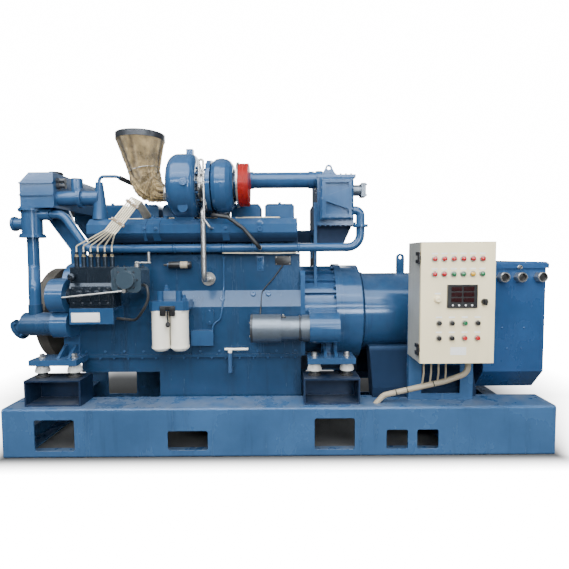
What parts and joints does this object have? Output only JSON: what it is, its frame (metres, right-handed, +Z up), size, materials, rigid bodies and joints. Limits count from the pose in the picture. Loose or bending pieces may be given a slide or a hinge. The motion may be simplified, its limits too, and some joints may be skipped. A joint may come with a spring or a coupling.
{
  "type": "diesel generator set",
  "caption": "Diesel generator set: an inline turbocharged engine and a round generator on a folded steel base, with coolers, fuel pump, filters and a hinged control cabinet.",
  "frame": {"origin": "middle of the base on the floor, on the underside of the middle cross member", "axes": "+X along the set from the engine's free end to the generator, +Y across it away from the control cabinet, +Z up"},
  "size_m": [3.3575, 1.242, 1.959],
  "materials": {
    "engine_blue": "glossy blue enamel",
    "base_blue": "glossy blue enamel",
    "box_blue": "smooth deep blue enamel",
    "white_rubber": "matte white moulded rubber",
    "dark_iron": "dark painted iron",
    "grey_paint": "silver-grey paint",
    "steel": "plated steel",
    "white_paint": "semi-gloss white",
    "red_mesh": "red mesh",
    "lagging_cloth": "tan glass cloth with a sheen",
    "hose_rubber": "dark rubber hose",
    "cabinet_cream": "cream powder coat",
    "black_plastic": "matte black",
    "lamp_red": "clear coloured lens",
    "cable_sheath": "cable sheath"
  },
  "bodies": {
    "set": {"adapter_ring": "engine_blue", "air_filter": "red_mesh", "base_beams": "base_blue", "cabinet_shell": "cabinet_cream", "cabinet_stand": "base_blue", "cable_harness": "cable_sheath", "charge_duct": "engine_blue", "charge_pipe": "engine_blue", "compressor_housing": "engine_blue", "coolant_hose": "hose_rubber", "cooler_bracket": "engine_blue", "crankcase": "engine_blue", "cross_members": "base_blue", "crossover": "engine_blue", "cylinder_heads": "engine_blue", "damper": "dark_iron", "dipstick": "engine_blue", "down_pipe": "engine_blue", "engine_feet": "engine_blue", "exhaust_lagging": "lagging_cloth", "exhaust_manifold": "engine_blue", "exhaust_rim": "dark_iron", "expansion_tank": "engine_blue", "filter_head": "engine_blue", "filters": "white_paint", "flywheel_housing": "engine_blue", "fuel_lines": "white_paint", "gear_case": "engine_blue", "governor": "engine_blue", "hinge_leaves": "black_plastic", "injection_pump": "engine_blue", "intake_manifold": "engine_blue", "intercooler": "engine_blue", "isolators": "white_rubber", "junction_box": "engine_blue", "mount_boxes": "base_blue", "oil_pan": "engine_blue", "oil_pipes": "steel", "pump_bracket": "engine_blue", "rocker_covers": "engine_blue", "sea_water_outlet": "grey_paint", "sea_water_pump": "engine_blue", "side_covers": "engine_blue", "starter_motor": "grey_paint", "stator_frame": "engine_blue", "tank_bracket": "engine_blue", "terminal_box": "box_blue", "terminal_glands": "steel", "terminal_lid": "box_blue", "thermostat_housing": "engine_blue", "throttle_link": "steel", "turbine_housing": "engine_blue", "turbo_centre": "engine_blue", "vent_pipe": "engine_blue", "water_pipe": "engine_blue"},
    "door": {"cabinet_door": "cabinet_cream", "door_hinges": "black_plastic", "door_lamps": "lamp_red", "door_switches": "black_plastic", "meter_panel": "black_plastic"}
  },
  "joints": [
    {"name": "cabinet_door_hinge", "type": "hinge", "parent": "set", "child": "door", "pos_m": [0.791, -0.65, 0.93], "axis": [0, 0, -1], "range_deg": [0, 110]}
  ]
}
